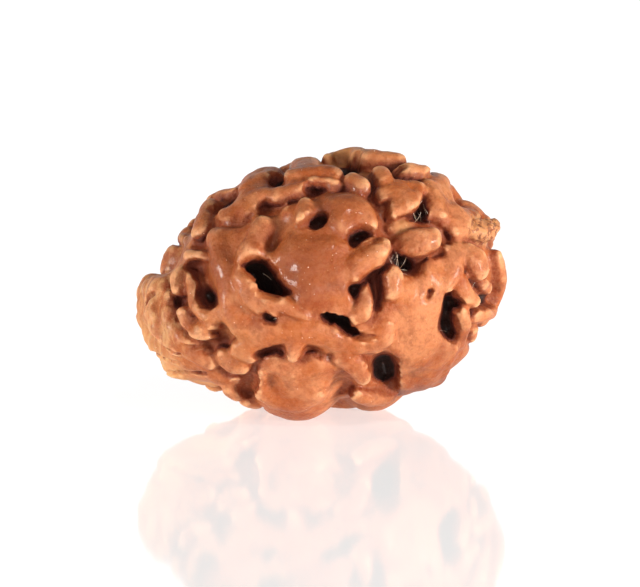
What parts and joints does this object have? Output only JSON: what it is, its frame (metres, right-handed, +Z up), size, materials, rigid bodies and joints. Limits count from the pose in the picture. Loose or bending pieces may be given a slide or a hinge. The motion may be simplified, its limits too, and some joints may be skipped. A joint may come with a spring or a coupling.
{
  "type": "one mukhi rudraksha bead",
  "caption": "Natural rudraksha fruit stone: an egg-shaped hard body with deeply lobed, pitted and creased relief, a blunt stem end, a natural groove and a small flat spot to rest on.",
  "frame": {"origin": "the ground point under the middle of the bead's bounding box", "axes": "+X along the bead toward the raised stem end, +Y away from the viewer of the front, +Z up"},
  "size_m": [0.028, 0.0206, 0.0203],
  "materials": {
    "stone": "waxy, semi-gloss, caramel brown with near-black pits"
  },
  "bodies": {
    "root": {"rudraksha_bead": "stone"}
  },
  "joints": []
}
